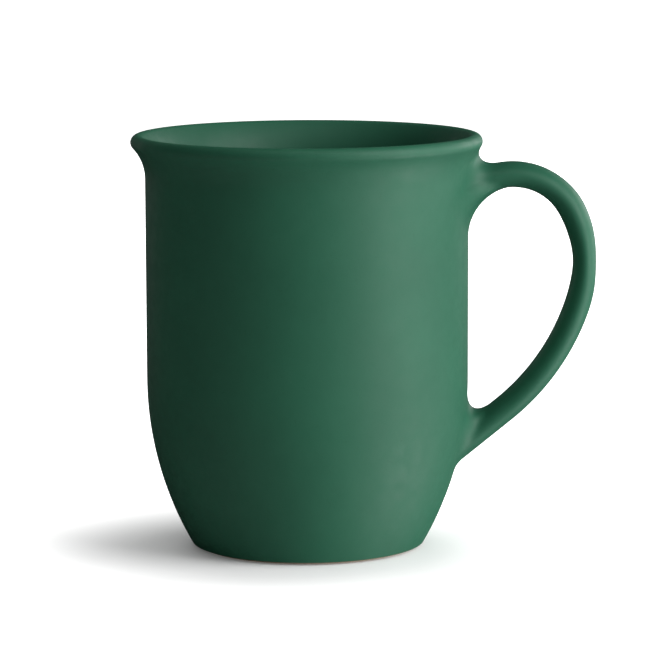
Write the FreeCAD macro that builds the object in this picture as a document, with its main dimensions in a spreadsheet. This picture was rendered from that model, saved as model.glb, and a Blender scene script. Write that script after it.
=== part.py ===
"""A flared stoneware mug with a looped handle, as its separate fired pieces.

Frame: millimetres, +Z up. Z is the cup's axis, the handle lies in the XZ plane on the +X side, and the
origin is on the axis in the plane that the foot ring stands on.

The driving dimensions are those of the finished, glazed surface. Each layer below it is the same outline
set in from that surface, so the layers share their arcs' centres and meet face to face.
"""

import FreeCAD, Part
import math
import os

import Sketcher

DIMENSIONS = {
    # The cup, on its glazed surface.
    "height": 108.0,
    "lip_radius": 45.75,
    "lip_round": 1.95,
    "wall_radius": 42.05,
    "wall_thickness": 3.9,
    "flare_start": 96.6,
    "shoulder_start": 44.15,
    "shoulder_round": 87.4,
    "base_round": 2.0,
    "floor_height": 6.0,
    "floor_corner": 8.0,
    # The foot, a bare ring round a shallow recess.
    "foot_inner_radius": 24.5,
    "foot_recess": 1.8,
    "glaze_stop": 0.6,
    "underside_margin": 0.8,
    # The handle: its oval section, and its centreline of four arcs from the top root to the bottom one.
    "grip_width": 12.0,
    "grip_thickness": 6.6,
    "grip_reach": 72.2,
    "grip_height": 74.35,
    "head_tilt": 8.3,
    "top_round": 17.6,
    "knuckle_height": 87.5,
    "knuckle_round": 29.5,
    "palm_round": 36.7,
    "palm_height": 62.6,
    "lower_round": 59.7,
    "tail_tilt": 51.6,
    "root_depth": 31.0,
    "root_fillet": 4.0,
    "joint_split_height": 60.0,
    # The layers.
    "glaze": 0.4,
    "slip": 0.6,
    "slip_relief": 0.05,
}

START, END, CENTRE = 1, 2, 3
ORIGIN, AXIS_X, AXIS_Z = (-1, 1), -1, -2

doc = FreeCAD.newDocument("mug")
sheet = doc.addObject("Spreadsheet::Sheet", "dims")
for row, (alias, value) in enumerate(DIMENSIONS.items(), start=1):
    sheet.set(f"A{row}", alias)
    sheet.set(f"B{row}", str(value))
    sheet.setAlias(f"B{row}", alias)
doc.recompute()


def dim(alias):
    """A driving dimension of the sheet, as a number."""
    return float(sheet.get(alias))


def polar(centre, radius, degrees):
    turn = math.radians(degrees)
    return centre[0] + radius * math.cos(turn), centre[1] + radius * math.sin(turn)


class Outline:
    """A sketch in its body's XZ plane, drawn end to end, with sizes bound to the sheet."""

    def __init__(self, body, name):
        plane = next(f for f in body.Origin.OriginFeatures if f.Role == "XZ_Plane")
        self.sketch = body.newObject("Sketcher::SketchObject", name)
        self.sketch.AttachmentSupport = [(plane, "")]
        self.sketch.MapMode = "FlatFace"
        self.sketch.Visibility = False

    def start(self, x, z):
        """Lifts the pen and sets it down at a new point."""
        self.point = (x, z)
        self.last = None

    def _join(self, index, entry, leave, tangent):
        if self.last:
            kind = "Tangent" if tangent else "Coincident"
            self.rule(kind, *self.last, index, entry)
        self.last = (index, leave)
        return index

    def line(self, x, z, tangent=True):
        """A straight run to (x, z)."""
        ends = [FreeCAD.Vector(*self.point, 0), FreeCAD.Vector(x, z, 0)]
        self.point = (x, z)
        index = self.sketch.addGeometry(Part.LineSegment(*ends), False)
        return self._join(index, START, END, tangent)

    def arc(self, centre, radius, begin, finish, tangent=True):
        """An arc from one angle to another, in degrees, either way round."""
        circle = Part.Circle(FreeCAD.Vector(*centre, 0), FreeCAD.Vector(0, 0, 1), radius)
        angles = sorted((math.radians(begin), math.radians(finish)))
        self.point = polar(centre, radius, finish)
        index = self.sketch.addGeometry(Part.ArcOfCircle(circle, *angles), False)
        ends = (START, END) if finish > begin else (END, START)
        return self._join(index, *ends, tangent)

    def rule(self, kind, *refs):
        return self.sketch.addConstraint(Sketcher.Constraint(kind, *refs))

    def size(self, kind, refs, value, expression):
        number = self.rule(kind, *refs, value)
        self.sketch.setExpression(f"Constraints[{number}]", expression)

    def radius(self, index, value, expression):
        self.size("Radius", (index,), value, expression)

    def across(self, index, end, value, expression):
        self.size("DistanceX", (*ORIGIN, index, end), value, expression)

    def above(self, index, end, value, expression):
        self.size("DistanceY", (*ORIGIN, index, end), value, expression)


def new_body(label):
    body = doc.addObject("PartDesign::Body", label)
    body.Label = label
    return body


def feature(body, kind, name):
    return body.newObject(f"PartDesign::{kind}", f"{body.Label}_{name}")


def revolve(body, outline):
    turned = feature(body, "Revolution", "revolution")
    turned.Profile = outline.sketch
    turned.ReferenceAxis = (outline.sketch, ["V_Axis"])
    turned.Angle = 360
    turned.Midplane = True
    return turned


class Cup:
    """Where the cup's arcs are centred, the same in every layer, and the angles at which they meet."""

    lip = (dim("lip_radius") - dim("lip_round"), dim("height") - dim("lip_round"))
    rise = lip[1] - dim("flare_start")
    flare_turn = 2 * math.atan((dim("lip_radius") - dim("wall_radius")) / rise)
    flare_round = rise / math.sin(flare_turn) - dim("lip_round")
    flare = (dim("wall_radius") + flare_round, dim("flare_start"))
    flare_end = 180 - math.degrees(flare_turn)
    shoulder = (dim("wall_radius") - dim("shoulder_round"), dim("shoulder_start"))
    base_reach = dim("shoulder_round") - dim("base_round")
    base_turn = math.degrees(math.asin((dim("base_round") - shoulder[1]) / base_reach))
    base = polar(shoulder, base_reach, base_turn)
    corner_height = dim("floor_height") + dim("floor_corner")
    corner_reach = dim("shoulder_round") - dim("wall_thickness") - dim("floor_corner")
    corner_turn = math.degrees(math.asin((corner_height - shoulder[1]) / corner_reach))
    corner = polar(shoulder, corner_reach, corner_turn)


def set_in(inset):
    """The depth of a layer below the glazed surface, and the ends of the expressions that bind it."""
    if not inset:
        return 0.0, "", ""
    depth = sum(sign * dim(alias) for sign, alias in inset)
    terms = [("+" if sign > 0 else "-", f"dims.{alias}") for sign, alias in inset]
    flipped = {"+": "-", "-": "+"}
    less = "".join(f" {flipped[sign]} {term}" for sign, term in terms)
    more = "".join(f" {sign} {term}" for sign, term in terms)
    return depth, less, more


GLAZED = ()
CLAY = ((1, "glaze"),)
HANDLE_SEAT = ((1, "glaze"), (-1, "slip"))
SLIP_BORE = ((1, "glaze"), (-1, "slip_relief"))


def place_lip(outline, lip, depth, less):
    outline.radius(lip, dim("lip_round") - depth, f"dims.lip_round{less}")
    outline.across(lip, CENTRE, Cup.lip[0], "dims.lip_radius - dims.lip_round")
    outline.above(lip, CENTRE, Cup.lip[1], "dims.height - dims.lip_round")


def cup_outside(outline, inset, tangent):
    """The cup's outside, from the underside of its base to the crest of its lip."""
    depth, less, _ = set_in(inset)
    base_round = dim("base_round") - depth
    shoulder_round = dim("shoulder_round") - depth
    wall = dim("wall_radius") - depth
    base = outline.arc(Cup.base, base_round, -90, Cup.base_turn, tangent)
    shoulder = outline.arc(Cup.shoulder, shoulder_round, Cup.base_turn, 0)
    side = outline.line(wall, dim("flare_start"))
    outline.arc(Cup.flare, Cup.flare_round + depth, 180, Cup.flare_end)
    lip = outline.arc(Cup.lip, dim("lip_round") - depth, Cup.flare_end - 180, 90)
    outline.radius(base, base_round, f"dims.base_round{less}")
    outline.above(base, CENTRE, dim("base_round"), "dims.base_round")
    outline.radius(shoulder, shoulder_round, f"dims.shoulder_round{less}")
    outline.rule("Vertical", side)
    outline.across(side, START, wall, f"dims.wall_radius{less}")
    outline.above(side, START, dim("shoulder_start"), "dims.shoulder_start")
    outline.above(side, END, dim("flare_start"), "dims.flare_start")
    outline.rule("Vertical", lip, CENTRE, lip, END)
    place_lip(outline, lip, depth, less)
    return base


def cup_inside(outline, inset, follows_outside):
    """The cup's inside, from the crest of its lip to the middle of its floor."""
    depth, less, more = set_in(inset)
    wall = dim("wall_radius") - dim("wall_thickness") + depth
    flare_round = Cup.flare_round + dim("wall_thickness") - depth
    shoulder_round = dim("shoulder_round") - dim("wall_thickness") + depth
    corner_round = dim("floor_corner") + depth
    floor = dim("floor_height") - depth
    lip = outline.arc(Cup.lip, dim("lip_round") - depth, 90, Cup.flare_end, tangent=False)
    outline.arc(Cup.flare, flare_round, Cup.flare_end, 180)
    side = outline.line(wall, dim("shoulder_start"))
    shoulder = outline.arc(Cup.shoulder, shoulder_round, 0, Cup.corner_turn)
    corner = outline.arc(Cup.corner, corner_round, Cup.corner_turn, -90)
    bottom = outline.line(0, floor)
    if follows_outside:
        outline.radius(lip, dim("lip_round") - depth, f"dims.lip_round{less}")
    else:
        place_lip(outline, lip, depth, less)
    outline.rule("Vertical", lip, CENTRE, lip, START)
    outline.rule("Vertical", side)
    outline.across(side, START, wall, f"dims.wall_radius - dims.wall_thickness{more}")
    outline.above(side, START, dim("flare_start"), "dims.flare_start")
    outline.above(side, END, dim("shoulder_start"), "dims.shoulder_start")
    outline.radius(
        shoulder, shoulder_round, f"dims.shoulder_round - dims.wall_thickness{more}"
    )
    outline.radius(corner, corner_round, f"dims.floor_corner{more}")
    outline.rule("Horizontal", bottom)
    outline.above(bottom, END, floor, f"dims.floor_height{less}")
    outline.rule("PointOnObject", bottom, END, AXIS_Z)
    return lip, bottom


def cup_body():
    """The clay cup: hollow, with a full round lip, standing on a bare foot ring."""
    body = new_body("cup_body")
    outline = Outline(body, "cup_section")
    outline.start(0, dim("foot_recess"))
    ceiling = outline.line(dim("foot_inner_radius"), dim("foot_recess"))
    bore = outline.line(dim("foot_inner_radius"), 0, tangent=False)
    tread = outline.line(Cup.base[0], 0, tangent=False)
    step = outline.line(Cup.base[0], dim("glaze"), tangent=False)
    base = cup_outside(outline, CLAY, tangent=False)
    _, bottom = cup_inside(outline, CLAY, follows_outside=True)
    outline.line(0, dim("foot_recess"), tangent=False)
    outline.rule("Coincident", *outline.last, ceiling, START)
    outline.rule("Horizontal", ceiling)
    outline.rule("PointOnObject", ceiling, START, AXIS_Z)
    outline.above(ceiling, END, dim("foot_recess"), "dims.foot_recess")
    outline.rule("Vertical", bore)
    outline.across(bore, END, dim("foot_inner_radius"), "dims.foot_inner_radius")
    outline.rule("PointOnObject", bore, END, AXIS_X)
    outline.rule("Horizontal", tread)
    outline.rule("Vertical", step)
    outline.rule("Vertical", base, CENTRE, base, START)
    revolve(body, outline)
    return body


def filled_cup(body, inset):
    """The cup's outside as one solid, closed flat across its mouth and under its base."""
    depth, less, _ = set_in(inset)
    outline = Outline(body, f"{body.Label}_cup_section")
    outline.start(0, depth)
    under = outline.line(Cup.base[0], depth)
    cup_outside(outline, inset, tangent=True)
    mouth = outline.line(0, dim("height") - depth, tangent=False)
    outline.line(0, depth, tangent=False)
    outline.rule("Coincident", *outline.last, under, START)
    outline.rule("Horizontal", under)
    outline.rule("PointOnObject", under, START, AXIS_Z)
    outline.rule("Horizontal", mouth)
    outline.rule("PointOnObject", mouth, END, AXIS_Z)
    return revolve(body, outline)


def handle_path(body):
    """The handle's centreline: from inside the lower wall, round the grip, to inside the upper wall."""
    top, knuckle = dim("top_round"), dim("knuckle_round")
    palm, lower = dim("palm_round"), dim("lower_round")
    reach, height, depth = dim("grip_reach"), dim("grip_height"), dim("root_depth")
    knuckle_turn = math.degrees(math.asin((dim("knuckle_height") - height) / knuckle))
    palm_turn = math.degrees(math.asin((dim("palm_height") - height) / palm))
    knuckle_at = (reach - knuckle, height)
    palm_at = (reach - palm, height)
    top_at = polar(knuckle_at, knuckle - top, knuckle_turn)
    lower_at = polar(palm_at, palm - lower, palm_turn)
    head_turn = 90 + dim("head_tilt")
    head_from = polar(top_at, top, head_turn)
    tail_from = polar(lower_at, lower, -dim("tail_tilt"))
    tail_drop = (tail_from[0] - depth) / math.tan(math.radians(dim("tail_tilt")))
    head_drop = (head_from[0] - depth) * math.tan(math.radians(dim("head_tilt")))

    outline = Outline(body, f"{body.Label}_path")
    outline.start(depth, tail_from[1] - tail_drop)
    root = outline.point
    tail = outline.line(*tail_from)
    low = outline.arc(lower_at, lower, -dim("tail_tilt"), palm_turn)
    inner = outline.arc(palm_at, palm, palm_turn, 0)
    outer = outline.arc(knuckle_at, knuckle, 0, knuckle_turn)
    crown = outline.arc(top_at, top, knuckle_turn, head_turn)
    head = outline.line(depth, head_from[1] - head_drop)
    outline.radius(low, lower, "dims.lower_round")
    outline.radius(inner, palm, "dims.palm_round")
    outline.radius(outer, knuckle, "dims.knuckle_round")
    outline.radius(crown, top, "dims.top_round")
    outline.across(outer, START, reach, "dims.grip_reach")
    outline.above(outer, START, height, "dims.grip_height")
    outline.rule("Horizontal", outer, CENTRE, outer, START)
    outline.above(outer, END, dim("knuckle_height"), "dims.knuckle_height")
    outline.above(inner, START, dim("palm_height"), "dims.palm_height")
    outline.across(tail, START, depth, "dims.root_depth")
    outline.across(head, END, depth, "dims.root_depth")
    for straight, degrees, expression in (
        (tail, 90 - dim("tail_tilt"), "90 deg - dims.tail_tilt * 1 deg"),
        (head, 180 + dim("head_tilt"), "180 deg + dims.head_tilt * 1 deg"),
    ):
        outline.size("Angle", (straight,), math.radians(degrees), expression)
    root_height = outline.rule("DistanceY", *ORIGIN, tail, START, root[1])
    outline.sketch.setDriving(root_height, False)
    outline.sketch.renameConstraint(root_height, "root_height")
    return outline.sketch, root


def handle_section(body, inset, path, root):
    """The handle's oval section, square to the lower end of its centreline."""
    depth, _, _ = set_in(inset)
    plane = next(f for f in body.Origin.OriginFeatures if f.Role == "XY_Plane")
    section = body.newObject("Sketcher::SketchObject", f"{body.Label}_section")
    section.AttachmentSupport = [(plane, "")]
    section.MapMode = "FlatFace"
    lean = FreeCAD.Rotation(FreeCAD.Vector(0, 1, 0), dim("tail_tilt"))
    section.AttachmentOffset = FreeCAD.Placement(FreeCAD.Vector(root[0], 0, root[1]), lean)
    section.setExpression("AttachmentOffset.Base.x", "dims.root_depth")
    section.setExpression("AttachmentOffset.Base.z", f"{path.Name}.Constraints.root_height")
    section.setExpression("AttachmentOffset.Rotation.Angle", "dims.tail_tilt * 1 deg")
    section.Visibility = False
    widest = FreeCAD.Vector(0, dim("grip_width") / 2 - depth, 0)
    thinnest = FreeCAD.Vector(dim("grip_thickness") / 2 - depth, 0, 0)
    oval = section.addGeometry(Part.Ellipse(widest, thinnest, FreeCAD.Vector()), False)
    section.exposeInternalGeometry(oval)
    major, minor = oval + 1, oval + 2
    section.addConstraint(Sketcher.Constraint("Coincident", oval, CENTRE, *ORIGIN))
    section.addConstraint(Sketcher.Constraint("Vertical", major))
    for axis, alias in ((major, "grip_width"), (minor, "grip_thickness")):
        length = Sketcher.Constraint("Distance", axis, dim(alias) - 2 * depth)
        number = section.addConstraint(length)
        section.setExpression(f"Constraints[{number}]", f"dims.{alias}{set_in(inset * 2)[1]}")
    return section


def add_handle(body, inset):
    path, root = handle_path(body)
    pipe = feature(body, "AdditivePipe", "pipe")
    pipe.Profile = handle_section(body, inset, path, root)
    pipe.Spine = path
    pipe.Mode = "Standard"
    return pipe


def joins_handle(cup, edge):
    """Whether an edge is where the handle meets the cup: a free curve that lies on the cup's surface."""
    if edge.Curve.TypeId != "Part::GeomBSplineCurve":
        return False
    middle = edge.valueAt((edge.FirstParameter + edge.LastParameter) / 2)
    return Part.Vertex(middle).distToShape(cup.Shells[0])[0] < 0.001


def mug_form(label, inset):
    """The whole mug's outside as one solid: the filled cup and its handle, with the roots filleted."""
    body = new_body(label)
    cup = filled_cup(body, inset)
    pipe = add_handle(body, inset)
    doc.recompute()
    corners = [
        f"Edge{number}"
        for number, edge in enumerate(pipe.Shape.Edges, start=1)
        if joins_handle(cup.Shape, edge)
    ]
    fillet = feature(body, "Fillet", "root_fillet")
    fillet.Base = (pipe, corners)
    fillet.Radius = dim("root_fillet") + set_in(inset)[0]
    fillet.setExpression("Radius", f"dims.root_fillet{set_in(inset)[2]}")
    return body


def plain_cup(label, inset):
    body = new_body(label)
    filled_cup(body, inset)
    return body


def plain_handle(label, inset):
    body = new_body(label)
    add_handle(body, inset)
    return body


def disc(label, radius, low, thickness):
    """A round plate on the cup's axis, each size an expression of the sheet."""
    plate = doc.addObject("Part::Cylinder", label)
    plate.Label = label
    plate.setExpression("Radius", radius)
    plate.setExpression("Height", thickness)
    plate.setExpression("Placement.Base.z", low)
    return plate


def combine(kind, label, base, tool):
    made = doc.addObject(f"Part::{kind}", label)
    made.Label = label
    made.Base = base
    made.Tool = tool
    return made


def liner_glaze():
    """The coat poured into the cup: from the crest of the lip down over the wall and floor."""
    body = new_body("liner_glaze")
    outline = Outline(body, "liner_section")
    ends = []
    for inset in (GLAZED, CLAY):
        outline.start(Cup.lip[0], dim("height"))
        ends.append(cup_inside(outline, inset, follows_outside=False))
    (lip, bottom), (clay_lip, clay_bottom) = ends
    lips = (Cup.lip[0], dim("height") - dim("glaze")), (Cup.lip[0], dim("height"))
    floors = (0, dim("floor_height") - dim("glaze")), (0, dim("floor_height"))
    for (low, high), first, second in (
        (lips, (clay_lip, START), (lip, START)),
        (floors, (clay_bottom, END), (bottom, END)),
    ):
        outline.start(*low)
        edge = outline.line(*high)
        outline.rule("Coincident", edge, START, *first)
        outline.rule("Coincident", edge, END, *second)
    revolve(body, outline)
    return body


def seated_handle(label, inset):
    """A handle whose two ends are cut to the cup's curve, and held off it by the joints' slip."""
    blank = plain_handle(f"{label}_blank", inset)
    return combine("Cut", label, blank, plain_cup(f"{label}_seat", HANDLE_SEAT))


def joint_pieces(clay_mug):
    """The slip that fills and fillets each root of the handle, bored a hair wider than the handle."""
    beside_cup = combine("Cut", "beside_cup", clay_mug, plain_cup("clay_cup", CLAY))
    slip = combine("Cut", "joint_slip", beside_cup, seated_handle("slip_bore", SLIP_BORE))
    lower_half = disc("lower_half", "dims.grip_reach * 2", "0", "dims.joint_split_height")
    upper = combine("Cut", "upper_joint_slip", slip, lower_half)
    lower = combine("Common", "lower_joint_slip", slip, lower_half)
    return upper, lower


def outer_glaze(clay_mug):
    """The coat over the cup's outside and the handle, from the crest of the lip to just above the foot."""
    coat = combine("Cut", "closed_coat", mug_form("glazed_mug", GLAZED), clay_mug)
    over_mouth = disc(
        "over_mouth",
        "dims.lip_radius - dims.lip_round",
        "dims.height - dims.lip_round",
        "dims.lip_round * 2",
    )
    under_foot = disc("under_foot", "dims.lip_radius", "0", "dims.glaze_stop")
    open_coat = combine("Cut", "open_coat", coat, over_mouth)
    return combine("Cut", "outer_glaze", open_coat, under_foot)


def underside_glaze():
    """The coat on the recessed base, inside the bare foot ring."""
    return disc(
        "underside_glaze",
        "dims.foot_inner_radius - dims.underside_margin",
        "dims.foot_recess - dims.glaze",
        "dims.glaze",
    )


def write(pieces):
    """Checks every object of the document, then writes each piece to its own file."""
    doc.recompute()
    failed = [o.Label for o in doc.Objects if {"Invalid", "Error"} & set(o.State)]
    if failed:
        raise RuntimeError(f"these objects failed: {failed}")
    for piece in pieces:
        shape = piece.Shape
        if shape.isNull() or not shape.isValid() or shape.Volume <= 0:
            raise RuntimeError(f"{piece.Label} has no sound shape")
    os.makedirs("parts", exist_ok=True)
    for piece in pieces:
        shape = piece.Shape
        shape.exportStep(f"parts/{piece.Label}.step")
        print(f"{piece.Label}: {len(shape.Solids)} solid, {shape.Volume / 1000:.2f} cm3")


clay = mug_form("clay_mug", CLAY)
write(
    [
        cup_body(),
        seated_handle("handle", CLAY),
        *joint_pieces(clay),
        outer_glaze(clay),
        liner_glaze(),
        underside_glaze(),
    ]
)
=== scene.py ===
import math

import bpy
import numpy as np
from mathutils import Matrix, Vector


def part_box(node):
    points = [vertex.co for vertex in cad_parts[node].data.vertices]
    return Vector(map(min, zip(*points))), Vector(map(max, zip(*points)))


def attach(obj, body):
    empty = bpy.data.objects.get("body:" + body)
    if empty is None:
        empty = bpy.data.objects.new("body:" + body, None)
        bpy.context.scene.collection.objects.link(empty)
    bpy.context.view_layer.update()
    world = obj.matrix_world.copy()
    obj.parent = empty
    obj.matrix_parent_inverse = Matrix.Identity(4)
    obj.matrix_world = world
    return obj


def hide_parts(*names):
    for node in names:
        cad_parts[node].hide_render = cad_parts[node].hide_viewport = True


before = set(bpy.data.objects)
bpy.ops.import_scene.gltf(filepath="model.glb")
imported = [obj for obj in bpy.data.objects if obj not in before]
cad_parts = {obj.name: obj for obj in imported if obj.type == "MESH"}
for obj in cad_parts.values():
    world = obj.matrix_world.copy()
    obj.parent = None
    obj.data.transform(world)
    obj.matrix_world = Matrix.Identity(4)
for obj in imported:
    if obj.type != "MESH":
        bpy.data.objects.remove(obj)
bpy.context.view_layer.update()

MM = 0.001

# ------------------------------------------------------------------------------------------
# Sizes, in metres and degrees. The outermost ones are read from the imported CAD, and the rest belong to
# the same curves that it has.
# ------------------------------------------------------------------------------------------

COAT_LOW, COAT_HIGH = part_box("outer_glaze")
_, CLAY_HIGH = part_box("cup_body")
UNDER_LOW, UNDER_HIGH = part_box("underside_glaze")
LINER_LOW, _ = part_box("liner_glaze")

HEIGHT = COAT_HIGH.z
LIP_RADIUS = -COAT_LOW.x
GLAZE = HEIGHT - CLAY_HIGH.z
GLAZE_LINE = COAT_LOW.z
FLOOR_HEIGHT = LINER_LOW.z + GLAZE
RECESS = UNDER_HIGH.z
UNDERSIDE_RADIUS = UNDER_HIGH.x

LIP_ROUND = 1.95 * MM
WALL_RADIUS = 42.05 * MM
WALL_THICKNESS = 2 * LIP_ROUND
FLARE_START = 96.6 * MM
SHOULDER_START = 44.15 * MM
SHOULDER_ROUND = 87.4 * MM
BASE_ROUND = 2.0 * MM
FLOOR_CORNER = 8.0 * MM
FOOT_INNER_RADIUS = 24.5 * MM
FOOT_EDGE = 0.5 * MM

GRIP_REACH = 72.45 * MM
GRIP_HEIGHT = 74.35 * MM
HALF_WIDTH = 6.0 * MM
HALF_THICKNESS = 3.38 * MM
KNUCKLE_THINNING = 0.34 * MM
SHOULDER_SWELL = 0.16 * MM
SHOULDER_PLACE = 14 * MM
SWELL_SPREAD = 6 * MM
TOP_ROUND, KNUCKLE_ROUND = 17.6 * MM, 29.5 * MM
PALM_ROUND, LOWER_ROUND = 36.7 * MM, 59.7 * MM
HEAD_TILT, KNUCKLE_TURN, PALM_TURN, TAIL_TILT = 8.3, 26.46, 18.67, 51.6
BURIED_RUN = 20 * MM
END_RINGS = (0.7, 0.4, 0.15)

# How finely the curves and meshes are divided. The handle has as many spokes as there are vertices round
# each root's patch, so that the two can be joined.
LINE_ARC_STEPS, LINE_BURIED_STEPS = 60, 24
COLUMNS = 192
SPOKES = 68
SPOKE_TURNS = np.arange(SPOKES) * 2 * math.pi / SPOKES
BRIDGE_ROWS = 20
TUBE_ROWS, CLAY_TUBE_ROWS = 100, 120
BEAD_ROWS = 8
EDGE_ROWS = 5
ROWS = {
    "recess": 10,
    "foot_edge": 5,
    "foot_bore": 2,
    "tread": 5,
    "glaze_step": 4,
    "base": 6,
    "shoulder": 33,
    "wall": 38,
    "flare": 8,
    "lip_outer": 18,
    "lip_inner": 7,
    "inner_flare": 10,
    "inner_wall": 38,
    "inner_shoulder": 25,
    "corner": 12,
    "floor": 14,
    "underside": 16,
    "underside_edge": 8,
}


# ------------------------------------------------------------------------------------------
# Curves
# ------------------------------------------------------------------------------------------

def polar(centre, radius, degrees):
    """The point, or the points, at an angle on a circle."""
    turn = np.radians(degrees)
    return np.stack(
        [centre[0] + radius * np.cos(turn), centre[1] + radius * np.sin(turn)], axis=-1
    )


def arc(centre, radius, begin, finish, steps):
    """Points along an arc, without its first one, so that arcs and runs follow each other."""
    return polar(centre, radius, np.linspace(begin, finish, steps + 1)[1:])


def run(start, end, steps):
    """Points along a straight run, without its first one."""
    return np.linspace(start, end, steps + 1)[1:]


class Cup:
    """Where the cup's arcs are centred, and the angles at which they meet, in degrees."""

    lip = (LIP_RADIUS - LIP_ROUND, HEIGHT - LIP_ROUND)
    rise = lip[1] - FLARE_START
    flare_turn = 2 * math.atan((LIP_RADIUS - WALL_RADIUS) / rise)
    flare_round = rise / math.sin(flare_turn) - LIP_ROUND
    flare = (WALL_RADIUS + flare_round, FLARE_START)
    flare_end = 180 - math.degrees(flare_turn)
    shoulder = (WALL_RADIUS - SHOULDER_ROUND, SHOULDER_START)
    base_turn = math.degrees(
        math.asin((BASE_ROUND - SHOULDER_START) / (SHOULDER_ROUND - BASE_ROUND))
    )
    base = tuple(polar(shoulder, SHOULDER_ROUND - BASE_ROUND, base_turn))
    corner_reach = SHOULDER_ROUND - WALL_THICKNESS - FLOOR_CORNER
    corner_turn = math.degrees(
        math.asin((FLOOR_HEIGHT + FLOOR_CORNER - SHOULDER_START) / corner_reach)
    )
    corner = tuple(polar(shoulder, corner_reach, corner_turn))


def outside_profile(depth, start_turn):
    """The cup's outside from its base to the crest of its lip, set in, as (radius, height)."""
    wall = WALL_RADIUS - depth
    return np.concatenate(
        [
            polar(Cup.base, BASE_ROUND - depth, np.array([start_turn])),
            arc(Cup.base, BASE_ROUND - depth, start_turn, Cup.base_turn, ROWS["base"]),
            arc(Cup.shoulder, SHOULDER_ROUND - depth, Cup.base_turn, 0, ROWS["shoulder"]),
            run((wall, SHOULDER_START), (wall, FLARE_START), ROWS["wall"]),
            arc(Cup.flare, Cup.flare_round + depth, 180, Cup.flare_end, ROWS["flare"]),
            arc(Cup.lip, LIP_ROUND - depth, Cup.flare_end - 180, 90, ROWS["lip_outer"]),
        ]
    )


def inside_profile(depth):
    """The cup's inside, on from the crest of its lip to the middle of its floor."""
    wall = WALL_RADIUS - WALL_THICKNESS + depth
    flare_round = Cup.flare_round + WALL_THICKNESS - depth
    shoulder_round = SHOULDER_ROUND - WALL_THICKNESS + depth
    floor = FLOOR_HEIGHT - depth
    return np.concatenate(
        [
            arc(Cup.lip, LIP_ROUND - depth, 90, Cup.flare_end, ROWS["lip_inner"]),
            arc(Cup.flare, flare_round, Cup.flare_end, 180, ROWS["inner_flare"]),
            run((wall, FLARE_START), (wall, SHOULDER_START), ROWS["inner_wall"]),
            arc(Cup.shoulder, shoulder_round, 0, Cup.corner_turn, ROWS["inner_shoulder"]),
            arc(Cup.corner, FLOOR_CORNER + depth, Cup.corner_turn, -90, ROWS["corner"]),
            run((Cup.corner[0], floor), (0, floor), ROWS["floor"]),
        ]
    )


def handle_line():
    """The handle's centreline in XZ, lower root first: points, outward normals and lengths."""
    knuckle_at = np.array([GRIP_REACH - KNUCKLE_ROUND, GRIP_HEIGHT])
    palm_at = np.array([GRIP_REACH - PALM_ROUND, GRIP_HEIGHT])
    top_at = polar(knuckle_at, KNUCKLE_ROUND - TOP_ROUND, KNUCKLE_TURN)
    lower_at = polar(palm_at, PALM_ROUND - LOWER_ROUND, -PALM_TURN)
    points, turns = [], []
    for centre, radius, begin, finish in (
        (lower_at, LOWER_ROUND, -TAIL_TILT, -PALM_TURN),
        (palm_at, PALM_ROUND, -PALM_TURN, 0),
        (knuckle_at, KNUCKLE_ROUND, 0, KNUCKLE_TURN),
        (top_at, TOP_ROUND, KNUCKLE_TURN, 90 + HEAD_TILT),
    ):
        points.append(arc(centre, radius, begin, finish, LINE_ARC_STEPS))
        turns.append(run(begin, finish, LINE_ARC_STEPS))
    points, turns = np.concatenate(points), np.radians(np.concatenate(turns))
    normals = np.stack([np.cos(turns), np.sin(turns)], axis=-1)
    forward = np.stack([-normals[:, 1], normals[:, 0]], axis=-1)
    reach = np.linspace(1, 0, LINE_BURIED_STEPS + 1)[:-1, None] * BURIED_RUN
    tail = points[0] - reach * forward[0]
    head = points[-1] + reach[::-1] * forward[-1]
    line = np.concatenate([tail, points, head])
    normals = np.concatenate(
        [np.repeat(normals[:1], len(tail), 0), normals, np.repeat(normals[-1:], len(head), 0)]
    )
    along = np.concatenate([[0], np.cumsum(np.linalg.norm(np.diff(line, axis=0), axis=1))])
    return line, normals, along


LINE, LINE_NORMALS, LINE_LENGTHS = handle_line()


def length_near(x, z):
    """How far along the handle's centreline the point nearest to (x, z) is."""
    return LINE_LENGTHS[np.argmin(np.hypot(*(LINE - (x, z)).T))]


KNUCKLE_LENGTH = length_near(GRIP_REACH, GRIP_HEIGHT)


def half_thickness(along):
    """The handle is a little thinner where the finger pulls on it, and fuller above that."""
    knuckle = (along - KNUCKLE_LENGTH) / SWELL_SPREAD
    shoulder = (along - KNUCKLE_LENGTH - SHOULDER_PLACE) / SWELL_SPREAD
    thinner = KNUCKLE_THINNING * np.exp(-(knuckle**2))
    fuller = SHOULDER_SWELL * np.exp(-(shoulder**2))
    return HALF_THICKNESS - thinner + fuller


# ------------------------------------------------------------------------------------------
# The surface that the cup and the handle share
# ------------------------------------------------------------------------------------------

OUTER_LINE = outside_profile(0.0, -90.0)


def cup_distance(points):
    """Signed distance from the cup's outside, taken as filled, near its wall."""
    flat = np.stack([np.hypot(points[:, 0], points[:, 1]), points[:, 2]], axis=-1)
    start, step = OUTER_LINE[:-1], np.diff(OUTER_LINE, axis=0)
    offset = flat[:, None] - start[None]
    share = np.clip((offset * step).sum(-1) / (step * step).sum(-1), 0, 1)
    apart = offset - share[..., None] * step
    nearest = np.argmin((apart * apart).sum(-1), axis=1)
    apart, run_of = apart[np.arange(len(flat)), nearest], step[nearest]
    side = np.sign(run_of[:, 1] * apart[:, 0] - run_of[:, 0] * apart[:, 1])
    return side * np.hypot(*apart.T)


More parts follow.
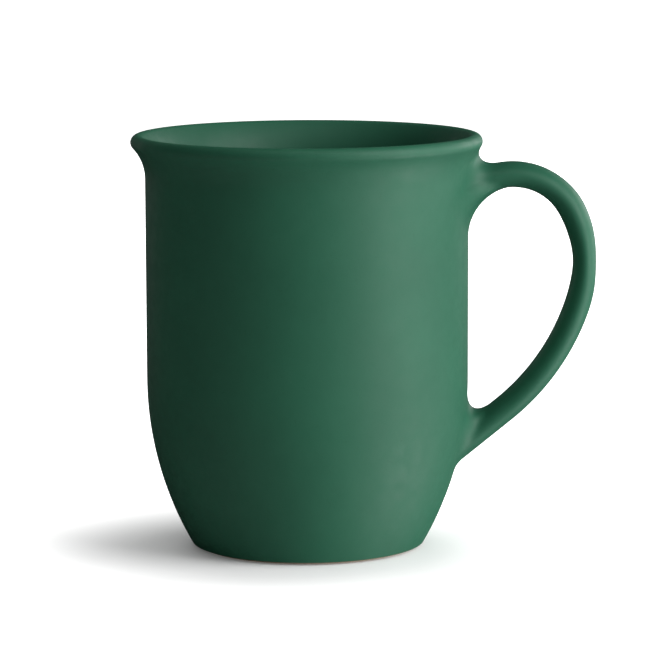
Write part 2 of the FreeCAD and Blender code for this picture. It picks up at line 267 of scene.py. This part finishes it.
def handle_distance(points):
    """Signed distance from the handle's oval tube, and the point's place across the tube, from inside
    the loop (-1) to outside it (1)."""
    flat = points[:, [0, 2]]
    nearest = np.argmin(((flat[:, None] - LINE[None]) ** 2).sum(-1), axis=1)
    out = ((flat - LINE[nearest]) * LINE_NORMALS[nearest]).sum(-1)
    thickness = half_thickness(LINE_LENGTHS[nearest])
    first = np.hypot(out / thickness, points[:, 1] / HALF_WIDTH)
    second = np.hypot(out / thickness**2, points[:, 1] / HALF_WIDTH**2)
    return first * (first - 1) / np.maximum(second, 1e-9), np.clip(out / thickness, -1, 1)


def fillet_at(out, fillets):
    """The fillet's radius inside the loop (-1), at the handle's sides (0), outside it (1) or between."""
    return np.interp(out, (-1, 0, 1), fillets)


def joined_distance(points, fillets):
    """The union of cup and handle, with a round fillet whose radius changes round the handle."""
    cup = cup_distance(points)
    handle, out = handle_distance(points)
    fillet = fillet_at(out, fillets)
    near = np.hypot(np.maximum(fillet - cup, 0), np.maximum(fillet - handle, 0))
    return np.maximum(fillet, np.minimum(cup, handle)) - near


LEAST_SLOPE_SQUARED = 0.05
ROOT_HALVINGS = 40


def slope_of(distance, points):
    """The direction in which a distance grows, by central differences."""
    nudge = 0.02 * MM
    return np.stack(
        [
            (distance(points + nudge * axis) - distance(points - nudge * axis)) / (2 * nudge)
            for axis in np.eye(3)
        ],
        axis=-1,
    )


def settle(points, distance, rounds=4):
    """Moves points along the slope of a distance until they lie on its surface."""
    for _ in range(rounds):
        slope = slope_of(distance, points)
        squared = np.maximum((slope * slope).sum(-1), LEAST_SLOPE_SQUARED)
        points = points - slope * (distance(points) / squared)[:, None]
    return points


def tube_points(along, turn, inset=0.0):
    """Points of the handle's oval tube, set in, at lengths along it and turns from its outer side."""
    centre = [np.interp(along, LINE_LENGTHS, LINE[:, i]) for i in (0, 1)]
    normal = [np.interp(along, LINE_LENGTHS, LINE_NORMALS[:, i]) for i in (0, 1)]
    out = (half_thickness(along) - inset) * np.cos(turn) / np.hypot(*normal)
    wide = np.broadcast_to((HALF_WIDTH - inset) * np.sin(turn), out.shape)
    return np.stack([centre[0] + normal[0] * out, wide, centre[1] + normal[1] * out], axis=-1)


def root_lengths(root, inset):
    """For each spoke, the length at which the tube comes out of the cup's outside, both set in."""
    low, high = np.full(SPOKES, root["buried"]), np.full(SPOKES, root["free"])
    for _ in range(ROOT_HALVINGS):
        middle = (low + high) / 2
        inside = cup_distance(tube_points(middle, SPOKE_TURNS, inset)) < -inset
        low, high = np.where(inside, middle, low), np.where(inside, high, middle)
    return (low + high) / 2


# ------------------------------------------------------------------------------------------
# Meshes
# ------------------------------------------------------------------------------------------

class Sheet:
    """Points and faces gathered for one mesh."""

    def __init__(self):
        self.blocks, self.faces, self.count = [], [], 0

    def add(self, grid):
        """Adds a grid of points, and returns their numbers in the same shape."""
        flat = grid.reshape(-1, 3)
        numbers = np.arange(self.count, self.count + len(flat)).reshape(grid.shape[:-1])
        self.blocks.append(flat)
        self.count += len(flat)
        return numbers

    def points(self):
        """All the points added so far, in order."""
        return np.concatenate(self.blocks)

    def quads(self, numbers, keep=None):
        """Joins the rows of a grid that closes on itself across its columns."""
        low, high = numbers[:-1], numbers[1:]
        quads = np.stack([low, np.roll(low, -1, 1), np.roll(high, -1, 1), high], axis=-1)
        self.faces.extend((quads if keep is None else quads[keep]).reshape(-1, 4).tolist())

    def fan(self, ring, centre):
        """Joins a ring of points to one in its middle."""
        self.faces.extend([int(a), int(b), int(centre)] for a, b in zip(ring, np.roll(ring, -1)))

    def piece(self, name, material):
        """Makes the object, without the points that no face uses."""
        used = np.zeros(self.count, bool)
        used[np.concatenate([np.array(face) for face in self.faces])] = True
        order = np.cumsum(used) - 1
        mesh = bpy.data.meshes.new(name)
        faces = [[int(order[v]) for v in face] for face in self.faces]
        mesh.from_pydata(self.points()[used].tolist(), [], faces)
        mesh.shade_smooth()
        mesh.materials.append(material)
        made = bpy.data.objects.new(name, mesh)
        bpy.context.scene.collection.objects.link(made)
        return made


def normals_of(points, faces):
    """Each point's normal, weighted by the areas of the faces round it."""
    total = np.zeros_like(points)
    for size in (3, 4):
        chosen = np.array([face for face in faces if len(face) == size], int).reshape(-1, size)
        corners = points[chosen]
        cross = np.cross(corners[:, 2] - corners[:, 0], corners[:, -1] - corners[:, 1])
        for corner in range(size):
            np.add.at(total, chosen[:, corner], cross)
    return total / np.maximum(np.linalg.norm(total, axis=1), 1e-12)[:, None]


def thicken(sheet, depth, edge):
    """Backs a sheet with a second one, set in, and joins them at its open edge with a round roll."""
    points, faces = sheet.points(), list(sheet.faces)
    normals = normals_of(points, faces)
    inner = sheet.add(points - normals * depth)
    sheet.faces.extend([int(inner[v]) for v in reversed(face)] for face in faces)
    front, inward = points[edge], -normals[edge]
    along = np.roll(front, -1, 0) - np.roll(front, 1, 0)
    onward = np.cross(inward, along)
    onward /= np.linalg.norm(onward, axis=1)[:, None]
    turn = (np.arange(1, EDGE_ROWS + 1) / (EDGE_ROWS + 1) * math.pi)[:, None, None]
    rows = front + inward * depth / 2 * (1 - np.cos(turn)) + onward * depth / 2 * np.sin(turn)
    numbers = np.concatenate([edge[None], sheet.add(rows), inner[edge][None]])
    sheet.quads(numbers[::-1])


def turned_points(profile):
    """A profile of (radius, height) turned about Z: rows by columns of points."""
    turn = np.arange(COLUMNS) * 2 * math.pi / COLUMNS
    ring = np.stack([np.cos(turn), np.sin(turn)], axis=-1)
    flat = profile[:, None, :1] * ring[None]
    tall = np.broadcast_to(profile[:, None, 1:], flat.shape[:2] + (1,))
    return np.concatenate([flat, tall], axis=-1)


# Each root's patch of the cup's grid: its rows, its columns either side of the handle, its height, the
# lengths of the buried end and of the first free ring of the handle's tube, and the radii of its fillet
# inside the loop, at the handle's sides and outside the loop. The fillets stop below LIP_ROW.
FLARE_ROW = ROWS["base"] + ROWS["shoulder"] + ROWS["wall"]
LIP_ROW = FLARE_ROW + ROWS["flare"] + ROWS["lip_outer"] // 2 + 4
ROOT_REACH = 20 * MM
UPPER_ROOT = {
    "rows": (FLARE_ROW - 12, FLARE_ROW + 6),
    "half_columns": 8,
    "buried": LINE_LENGTHS[-1],
    "height": 95 * MM,
    "free": length_near(56.5 * MM, 97.0 * MM),
    "fillets": (11.0 * MM, 6.0 * MM, 6.4 * MM),
}
LOWER_ROOT = {
    "rows": (18, 36),
    "half_columns": 8,
    "buried": 0.0,
    "height": 29 * MM,
    "free": length_near(53.5 * MM, 38.0 * MM),
    "fillets": (6.6 * MM, 3.8 * MM, 1.0 * MM),
}
ROOTS = {"upper_joint_slip": UPPER_ROOT, "lower_joint_slip": LOWER_ROOT}


def patch_edge(numbers, root, upper):
    """The vertices round a patch, from the middle of its side outside the loop and by way of +Y."""
    low, high = root["rows"]
    half = root["half_columns"]
    first, last, step = (high, low, -1) if upper else (low, high, 1)
    walk = [(first, c) for c in range(half + 1)]
    walk += [(r, half) for r in range(first + step, last + step, step)]
    walk += [(last, c) for c in range(half - 1, -half - 1, -1)]
    walk += [(r, -half) for r in range(last - step, first - step, -step)]
    walk += [(first, c) for c in range(1 - half, 0)]
    return np.array([numbers[r, c % COLUMNS] for r, c in walk])


BRIDGE_SETTLE_ROUNDS = 8
EASE_ROUNDS = 24
OWN_SHARE, ALONG_SHARE, BESIDE_SHARE = 0.35, 0.45, 0.20


def bridge(edge, ring, root):
    """Rows of points from a patch's edge to the handle's first free ring, over the fillet between them,
    eased towards their neighbours so that they lie evenly."""

    def distance(points):
        return joined_distance(points, root["fillets"])

    corner = tube_points(root_lengths(root, 0.0), SPOKE_TURNS)
    share = np.linspace(0, 1, BRIDGE_ROWS + 2)[:, None, None]
    rows = (1 - share) ** 2 * edge + 2 * share * (1 - share) * corner + share**2 * ring
    inner = rows[1:-1]
    inner[:] = settle(inner.reshape(-1, 3), distance, BRIDGE_SETTLE_ROUNDS).reshape(inner.shape)
    for _ in range(EASE_ROUNDS):
        middle = (rows[:-2] + rows[2:]) / 2
        beside = (np.roll(inner, 1, 1) + np.roll(inner, -1, 1)) / 2
        eased = OWN_SHARE * inner + ALONG_SHARE * middle + BESIDE_SHARE * beside
        inner[:] = settle(eased.reshape(-1, 3), distance, rounds=2).reshape(inner.shape)
    inner[:] = settle(inner.reshape(-1, 3), distance).reshape(inner.shape)
    return rows


def glaze_coat(material):
    """One coat over the cup's outside, handle, lip and inside, ending in a soft edge above the foot."""
    first_height = GLAZE_LINE + GLAZE / 2
    start = math.degrees(math.asin(first_height / BASE_ROUND - 1))
    profile = np.concatenate([outside_profile(0.0, start), inside_profile(0.0)])
    grid = turned_points(profile[:-1])
    outside = grid[:LIP_ROW]
    for root in ROOTS.values():
        near = handle_distance(outside.reshape(-1, 3))[0] < max(root["fillets"])
        near = near.reshape(outside.shape[:2]) & (outside[..., 0] > 0)
        near &= abs(outside[..., 2] - root["height"]) < ROOT_REACH
        outside[near] = settle(outside[near], lambda p: joined_distance(p, root["fillets"]))
    sheet = Sheet()
    numbers = sheet.add(grid)
    keep = np.ones((len(grid) - 1, COLUMNS), bool)
    for root in ROOTS.values():
        low, high = root["rows"]
        for column in range(-root["half_columns"], root["half_columns"]):
            keep[low:high, column % COLUMNS] = False
    sheet.quads(numbers, keep)
    pole = sheet.add(np.array([[0.0, 0.0, profile[-1][1]]]))
    sheet.fan(numbers[-1], pole[0])

    lengths = np.linspace(LOWER_ROOT["free"], UPPER_ROOT["free"], TUBE_ROWS)
    tube = tube_points(lengths[:, None], SPOKE_TURNS[None])
    tube_numbers = sheet.add(tube)
    sheet.quads(tube_numbers)
    for root, end in ((LOWER_ROOT, 0), (UPPER_ROOT, -1)):
        edge = patch_edge(numbers, root, upper=end == -1)
        rows = bridge(grid.reshape(-1, 3)[edge], tube[end], root)
        whole = np.concatenate([edge[None], sheet.add(rows[1:-1]), tube_numbers[end][None]])
        sheet.quads(whole[::-1] if end else whole)
    thicken(sheet, GLAZE, numbers[0])
    return sheet.piece("glaze_coat", material)


def clay_cup(material):
    """The stoneware cup under the coat, closed, with a foot ring whose edges are sponged round."""
    edge, bore, foot = FOOT_EDGE, FOOT_INNER_RADIUS, Cup.base[0]
    under = np.concatenate(
        [
            run((0, RECESS), (bore - edge, RECESS), ROWS["recess"]),
            arc((bore - edge, RECESS - edge), edge, 90, 0, ROWS["foot_edge"]),
            run((bore, RECESS - edge), (bore, edge), ROWS["foot_bore"]),
            arc((bore + edge, edge), edge, 180, 270, ROWS["foot_edge"]),
            run((bore + edge, 0), (foot - GLAZE, 0), ROWS["tread"]),
            arc((foot - GLAZE, GLAZE), GLAZE, -90, 0, ROWS["glaze_step"]),
        ]
    )
    outside, inside = outside_profile(GLAZE, -90.0), inside_profile(GLAZE)
    profile = np.concatenate([under, outside[1:], inside])
    sheet = Sheet()
    numbers = sheet.add(turned_points(profile[:-1]))
    sheet.quads(numbers)
    poles = sheet.add(np.array([[0.0, 0.0, RECESS], [0.0, 0.0, profile[-1][1]]]))
    sheet.fan(numbers[-1], poles[1])
    sheet.fan(numbers[0][::-1], poles[0])
    return sheet.piece("stoneware_cup", material)


def cup_skin(points):
    """Signed distance from the clay cup, under its coat."""
    return cup_distance(points) + GLAZE


def handle_skin(points):
    """Signed distance from the clay handle, under its coat."""
    return handle_distance(points)[0] + GLAZE


def clay_handle(material):
    """The clay loop under the coat, both ends cut to the cup's curve."""
    lower, upper = root_lengths(LOWER_ROOT, GLAZE), root_lengths(UPPER_ROOT, GLAZE)
    share = np.linspace(0, 1, CLAY_TUBE_ROWS)[:, None]
    lengths = lower * (1 - share) + upper * share
    body = tube_points(lengths, SPOKE_TURNS[None], GLAZE)
    sheet = Sheet()
    numbers = sheet.add(body)
    sheet.quads(numbers)
    for end in (0, -1):
        ring, middle = body[end], body[end].mean(0)
        rings = middle + (ring - middle) * np.array(END_RINGS)[:, None, None]
        flat = settle(np.concatenate([rings.reshape(-1, 3), middle[None]]), cup_skin)
        inner = sheet.add(flat[:-1].reshape(rings.shape))
        pole = sheet.add(flat[-1:])
        whole = np.concatenate([numbers[end][None], inner])
        sheet.quads(whole[::-1] if end == 0 else whole)
        sheet.fan(inner[-1] if end else inner[-1][::-1], pole[0])
    return sheet.piece("stoneware_handle", material)


def slip_bead(name, root, material):
    """The fired slip in the corner between handle and cup: a ring whose face is the fillet."""
    lengths = root_lengths(root, GLAZE)
    corner = tube_points(lengths, SPOKE_TURNS, GLAZE)
    wall, side = slope_of(cup_skin, corner), slope_of(handle_skin, corner)
    facing = (wall * side).sum(-1)
    fillet = fillet_at(np.cos(SPOKE_TURNS), root["fillets"])

    def fillet_skin(points):
        return joined_distance(points, root["fillets"]) + GLAZE

    rows = [corner]
    for turn in np.linspace(0, math.pi / 2, BEAD_ROWS):
        from_cup = fillet * (1 - math.cos(turn))
        from_handle = fillet * (1 - math.sin(turn))
        along_wall = (from_cup - facing * from_handle) / (1 - facing**2)
        along_side = (from_handle - facing * from_cup) / (1 - facing**2)
        face = corner + wall * along_wall[:, None] + side * along_side[:, None]
        rows.append(settle(face, fillet_skin))
    sheet = Sheet()
    numbers = sheet.add(np.stack(rows))
    closed = np.concatenate([numbers, numbers[:1]])
    sheet.quads(closed if root is LOWER_ROOT else closed[::-1])
    return sheet.piece(name, material)


def underside_coat(material):
    """The coat on the recessed base: a thin disc with a round edge."""
    low, high = UNDER_LOW.z, UNDER_HIGH.z
    thick = high - low
    edge = UNDERSIDE_RADIUS - thick / 2
    profile = np.concatenate(
        [
            run((0, low), (edge, low), ROWS["underside"]),
            arc((edge, low + thick / 2), thick / 2, -90, 90, ROWS["underside_edge"]),
            run((edge, high), (0, high), ROWS["underside"])[:-1],
        ]
    )
    sheet = Sheet()
    numbers = sheet.add(turned_points(profile))
    sheet.quads(numbers)
    poles = sheet.add(np.array([[0.0, 0.0, low], [0.0, 0.0, high]]))
    sheet.fan(numbers[0][::-1], poles[0])
    sheet.fan(numbers[-1], poles[1])
    return sheet.piece("glaze_underside", material)


# ------------------------------------------------------------------------------------------
# Materials
# ------------------------------------------------------------------------------------------

GLAZE_DEEP = (0.0104, 0.0785, 0.0428, 1)
GLAZE_LIGHT = (0.0116, 0.0855, 0.0466, 1)
GLAZE_GRAIN = (0.0062, 0.058, 0.028, 1)
GLAZE_CREST = (0.020, 0.112, 0.059, 1)
CREST_DEPTH = 1.2 * MM
CLAY_DARK = (0.50, 0.405, 0.295, 1)
CLAY_LIGHT = (0.60, 0.50, 0.385, 1)
CLAY_SPECK = (0.13, 0.085, 0.055, 1)
CLAY_RUBBED = (0.30, 0.265, 0.225, 1)
# The near-black of the painted shade at the foot, beside the glaze line, much darker than kiln toasting.
CLAY_SCORCH_AND_PAINTED_SHADE = (0.052, 0.041, 0.031, 1)
RUBBED_HEIGHT = 0.25 * MM
WHITE = (1, 1, 1, 1)


class Nodes:
    """A material's node tree, with short calls for the nodes that the materials share."""

    def __init__(self, name):
        self.material = bpy.data.materials.new(name)
        self.material.use_nodes = True
        self.tree = self.material.node_tree
        self.shader = self.tree.nodes["Principled BSDF"]
        self.place = self.tree.nodes.new("ShaderNodeTexCoord").outputs["Object"]

    def link(self, start, end):
        self.tree.links.new(start, end)

    def feed(self, socket, value):
        """Sets a socket to a number or a colour, or links it to another node's output."""
        if isinstance(value, bpy.types.NodeSocket):
            self.link(value, socket)
        else:
            socket.default_value = value

    def noise(self, scale, detail=3.0, roughness=0.55):
        made = self.tree.nodes.new("ShaderNodeTexNoise")
        self.link(self.place, made.inputs["Vector"])
        made.inputs["Scale"].default_value = scale
        made.inputs["Detail"].default_value = detail
        made.inputs["Roughness"].default_value = roughness
        return made.outputs["Fac"]

    def product(self, first, second):
        made = self.tree.nodes.new("ShaderNodeMath")
        made.operation = "MULTIPLY"
        for socket, value in zip(made.inputs, (first, second)):
            self.feed(socket, value)
        return made.outputs["Value"]

    def remap(self, value, low, high, to_low=0.0, to_high=1.0):
        """A value carried smoothly from one range to another, and held at its ends."""
        made = self.tree.nodes.new("ShaderNodeMapRange")
        made.interpolation_type = "SMOOTHSTEP"
        for name, setting in (
            ("Value", value),
            ("From Min", low),
            ("From Max", high),
            ("To Min", to_low),
            ("To Max", to_high),
        ):
            self.feed(made.inputs[name], setting)
        return made.outputs["Result"]

    def blend(self, share, first, second):
        """A colour between two others."""
        made = self.tree.nodes.new("ShaderNodeMix")
        made.data_type = "RGBA"
        self.feed(made.inputs["Factor"], share)
        for name, colour in (("A", first), ("B", second)):
            socket = next(i for i in made.inputs if i.name == name and i.type == "RGBA")
            self.feed(socket, colour)
        return next(o for o in made.outputs if o.type == "RGBA")

    def bump(self, height, distance, normal=None):
        """A surface normal roughened by a height, over another one if there is one."""
        made = self.tree.nodes.new("ShaderNodeBump")
        made.inputs["Distance"].default_value = distance
        self.feed(made.inputs["Height"], height)
        if normal is not None:
            self.link(normal, made.inputs["Normal"])
        return made.outputs["Normal"]

    def height(self):
        """The height above the surface that the mug stands on, in metres."""
        made = self.tree.nodes.new("ShaderNodeSeparateXYZ")
        self.link(self.place, made.inputs["Vector"])
        return made.outputs["Z"]

    def from_axis(self, stretch=(1, 1, 0), shift=(0, 0, 0)):
        """The distance from the cup's axis, in metres, or from a shifted one with an oval's stretch."""
        flat = self.tree.nodes.new("ShaderNodeVectorMath")
        flat.operation = "MULTIPLY_ADD"
        flat.inputs[1].default_value = stretch
        flat.inputs[2].default_value = shift
        self.link(self.place, flat.inputs[0])
        made = self.tree.nodes.new("ShaderNodeVectorMath")
        made.operation = "LENGTH"
        self.link(flat.outputs["Vector"], made.inputs[0])
        return made.outputs["Value"]

    def set(self, **inputs):
        """Feeds the shader's sockets, named with underscores for spaces."""
        for name, value in inputs.items():
            self.feed(self.shader.inputs[name.replace("_", " ")], value)


def glaze_material():
    """A deep green satin glaze: soft mottling, a fine grain, and paler where it thins over the lip."""
    nodes = Nodes("green_satin_glaze")
    mottle = nodes.remap(nodes.noise(38.0, detail=4.0), 0.32, 0.68)
    colour = nodes.blend(mottle, GLAZE_DEEP, GLAZE_LIGHT)
    grain = nodes.noise(1500.0, detail=2.0)
    colour = nodes.blend(nodes.remap(grain, 0.60, 0.78, 0.0, 0.35), colour, GLAZE_GRAIN)
    crest = nodes.remap(nodes.height(), HEIGHT - CREST_DEPTH, HEIGHT, 0.0, 0.30)
    colour = nodes.blend(crest, colour, GLAZE_CREST)
    silk = nodes.noise(260.0)
    roughness = nodes.remap(silk, 0.3, 0.7, 0.52, 0.60)
    normal = nodes.bump(nodes.noise(55.0, detail=1.0), 0.12 * MM)
    normal = nodes.bump(silk, 0.035 * MM, normal)
    normal = nodes.bump(grain, 0.006 * MM, normal)
    nodes.set(Base_Color=colour, Roughness=roughness, Normal=normal, Specular_IOR_Level=0.28)
    return nodes.material


def clay_material():
    """Bare stoneware: a buff body with grog and iron specks, matt, rubbed grey where the foot stands,
    and near-black beside the glaze line: a little kiln toasting, darkened much further into painted
    shade at the foot."""
    nodes = Nodes("bare_stoneware")
    cloud = nodes.remap(nodes.noise(60.0, detail=5.0), 0.3, 0.7)
    colour = nodes.blend(cloud, CLAY_DARK, CLAY_LIGHT)
    specks = nodes.remap(nodes.noise(1100.0, detail=2.0, roughness=0.7), 0.655, 0.70)
    colour = nodes.blend(nodes.product(specks, 0.75), colour, CLAY_SPECK)
    low_down = nodes.remap(nodes.height(), 0.0, RUBBED_HEIGHT, 1.0, 0.0)
    rubbed = nodes.product(low_down, nodes.remap(nodes.noise(420.0), 0.42, 0.62, 0.1, 0.6))
    colour = nodes.blend(rubbed, colour, CLAY_RUBBED)
    # Painted shade: a near-black ring beside the glaze line that stands in for the contact shadow at the
    # foot, darker than kiln toasting alone.
    beside_glaze = (Cup.base[0] - 1.0 * MM, Cup.base[0] + 0.6 * MM)
    scorch_and_painted_shade = nodes.remap(nodes.from_axis(), *beside_glaze, 0.0, 0.92)
    colour = nodes.blend(scorch_and_painted_shade, colour, CLAY_SCORCH_AND_PAINTED_SHADE)
    grog = nodes.noise(900.0, detail=4.0, roughness=0.65)
    roughness = nodes.remap(grog, 0.3, 0.7, 0.78, 0.95)
    normal = nodes.bump(grog, 0.09 * MM)
    nodes.set(Base_Color=colour, Roughness=roughness, Normal=normal)
    return nodes.material


# ------------------------------------------------------------------------------------------
# The mug
# ------------------------------------------------------------------------------------------

glaze = glaze_material()
clay = clay_material()
pieces = [
    (glaze_coat(glaze), ("outer_glaze", "liner_glaze"), "green_glaze"),
    (underside_coat(glaze), ("underside_glaze",), "green_glaze"),
    (clay_cup(clay), ("cup_body",), "stoneware"),
    (clay_handle(clay), ("handle",), "stoneware"),
]
for node_name, root in ROOTS.items():
    pieces.append((slip_bead(f"{node_name}_bead", root, clay), (node_name,), "slip"))
for piece, nodes_replaced, slot in pieces:
    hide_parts(*nodes_replaced)
    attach(piece, "root")


# ------------------------------------------------------------------------------------------
# Stage, light and camera
# ------------------------------------------------------------------------------------------

FLOOR_HALF = 12.0
FLOOR_LEVEL = -0.02 * MM
FLOOR_WHITE = (0.85, 0.85, 0.85, 1)
# Painted light: the floor glows for the camera, less round the mug in an oval, so the glow whitens the
# mug's shadow away outside the oval and gives the shadow its shape; inside it the floor shows its
# shadow.
SHADE_STRETCH = (1, 1.2, 0)
SHADE_SHIFT = (5 * MM, 11.5 * MM, 0)
SHADE_REACH = (34 * MM, 99 * MM)
SHADED_GLOW = 0.08

LIGHT_DISTANCE = 1.1
LIGHTS = (
    # Name, azimuth, elevation, width, height, power, and whether the glaze reflects it.
    ("key", 62, 23, 0.75, 1.05, 17.3, True),
    ("bounce", 80, -30, 0.8, 0.5, 9.0, True),
    ("side", 114, 8, 0.5, 0.5, 2.6, True),
    ("back", 138, 14, 0.5, 0.5, 2.7, True),
    ("top", 0, 65, 0.8, 0.8, 2.5, True),
    ("rim", -142, 8, 0.5, 0.6, 0.3, True),
    ("behind", 190, 25, 0.9, 0.7, 5.0, False),
)
WORLD_ON_MUG, WORLD_SEEN = 0.17, 1.0

CAMERA_DISTANCE, CAMERA_ELEVATION = 0.9, 8.286
CAMERA_YAW, CAMERA_PITCH, CAMERA_ROLL = 0.3815, -8.132, -0.184
SENSOR_WIDTH, FOCAL_LENGTH = 36, 187.43


def direction(azimuth, elevation):
    """A unit vector, its azimuth in radians from -Y towards +X."""
    flat = math.cos(elevation)
    return Vector((math.sin(azimuth) * flat, -math.cos(azimuth) * flat, math.sin(elevation)))


def floor():
    """A wide white floor, just under the foot. Away from the mug the camera sees it glow with painted
    light, so that it meets the white backdrop and the mug's shadow fades into white, and light from
    below passes it."""
    corners = [(-1, -1), (1, -1), (1, 1), (-1, 1)]
    mesh = bpy.data.meshes.new("floor")
    mesh.from_pydata(
        [(x * FLOOR_HALF, y * FLOOR_HALF, FLOOR_LEVEL) for x, y in corners], [], [(0, 1, 2, 3)]
    )
    nodes = Nodes("floor_white")
    # Painted light: a camera-only glow, dim in an oval round the mug and full beyond it, that paints the
    # shadow out past the oval.
    glow = nodes.remap(
        nodes.from_axis(SHADE_STRETCH, SHADE_SHIFT), *SHADE_REACH, SHADED_GLOW, 1.0
    )
    seen = nodes.tree.nodes.new("ShaderNodeLightPath").outputs["Is Camera Ray"]
    nodes.set(Base_Color=FLOOR_WHITE, Roughness=0.9)
    nodes.set(Emission_Color=WHITE, Emission_Strength=nodes.product(glow, seen))
    mesh.materials.append(nodes.material)
    made = bpy.data.objects.new("floor", mesh)
    bpy.context.scene.collection.objects.link(made)
    made.visible_glossy = False
    made.visible_shadow = False


def softbox(name, azimuth, elevation, width, tall, power, reflected):
    """A soft light aimed at the mug, its azimuth from the camera's side towards the handle's."""
    data = bpy.data.lights.new(name, "AREA")
    data.shape = "RECTANGLE"
    data.size, data.size_y = width, tall
    data.energy = power
    made = bpy.data.objects.new(name, data)
    bpy.context.scene.collection.objects.link(made)
    away = direction(math.radians(azimuth), math.radians(elevation))
    made.location = Vector((0, 0, HEIGHT / 2)) + away * LIGHT_DISTANCE
    made.rotation_mode = "QUATERNION"
    made.rotation_quaternion = away.to_track_quat("Z", "Y")
    made.visible_camera = False
    made.visible_glossy = reflected


def camera():
    """A long lens a little above the rim, looking down on the mug from the front."""
    elevation = math.radians(CAMERA_ELEVATION)
    yaw, pitch = math.radians(CAMERA_YAW), math.radians(CAMERA_PITCH)
    roll = math.radians(CAMERA_ROLL)
    data = bpy.data.cameras.new("camera")
    data.sensor_width = SENSOR_WIDTH
    data.lens = FOCAL_LENGTH
    data.clip_start, data.clip_end = 0.05, 40
    made = bpy.data.objects.new("camera", data)
    bpy.context.scene.collection.objects.link(made)
    forward = Vector(
        (math.sin(yaw) * math.cos(pitch), math.cos(yaw) * math.cos(pitch), math.sin(pitch))
    )
    right = forward.cross(Vector((0, 0, 1))).normalized()
    up = right.cross(forward)
    side = right * math.cos(roll) + up * math.sin(roll)
    top = up * math.cos(roll) - right * math.sin(roll)
    turn = Matrix((side, top, -forward)).transposed()
    place = Vector((0, 0, HEIGHT / 2)) + direction(0, elevation) * CAMERA_DISTANCE
    made.matrix_world = Matrix.Translation(place) @ turn.to_4x4()
    bpy.context.scene.camera = made


def backdrop():
    """White behind everything that the camera sees, and a dim, even light on the mug."""
    world = bpy.data.worlds.new("studio")
    world.use_nodes = True
    tree = world.node_tree
    seen = tree.nodes.new("ShaderNodeLightPath").outputs["Is Camera Ray"]
    strength = tree.nodes.new("ShaderNodeMapRange")
    strength.inputs["To Min"].default_value = WORLD_ON_MUG
    strength.inputs["To Max"].default_value = WORLD_SEEN
    tree.links.new(seen, strength.inputs["Value"])
    bpy.context.scene.world = world
    background = tree.nodes["Background"]
    background.inputs["Color"].default_value = WHITE
    tree.links.new(strength.outputs["Result"], background.inputs["Strength"])
    world.cycles_visibility.glossy = False


floor()
for light in LIGHTS:
    softbox(*light)
camera()
backdrop()
bpy.context.scene.view_settings.view_transform = "Standard"
bpy.context.scene.view_settings.look = "None"
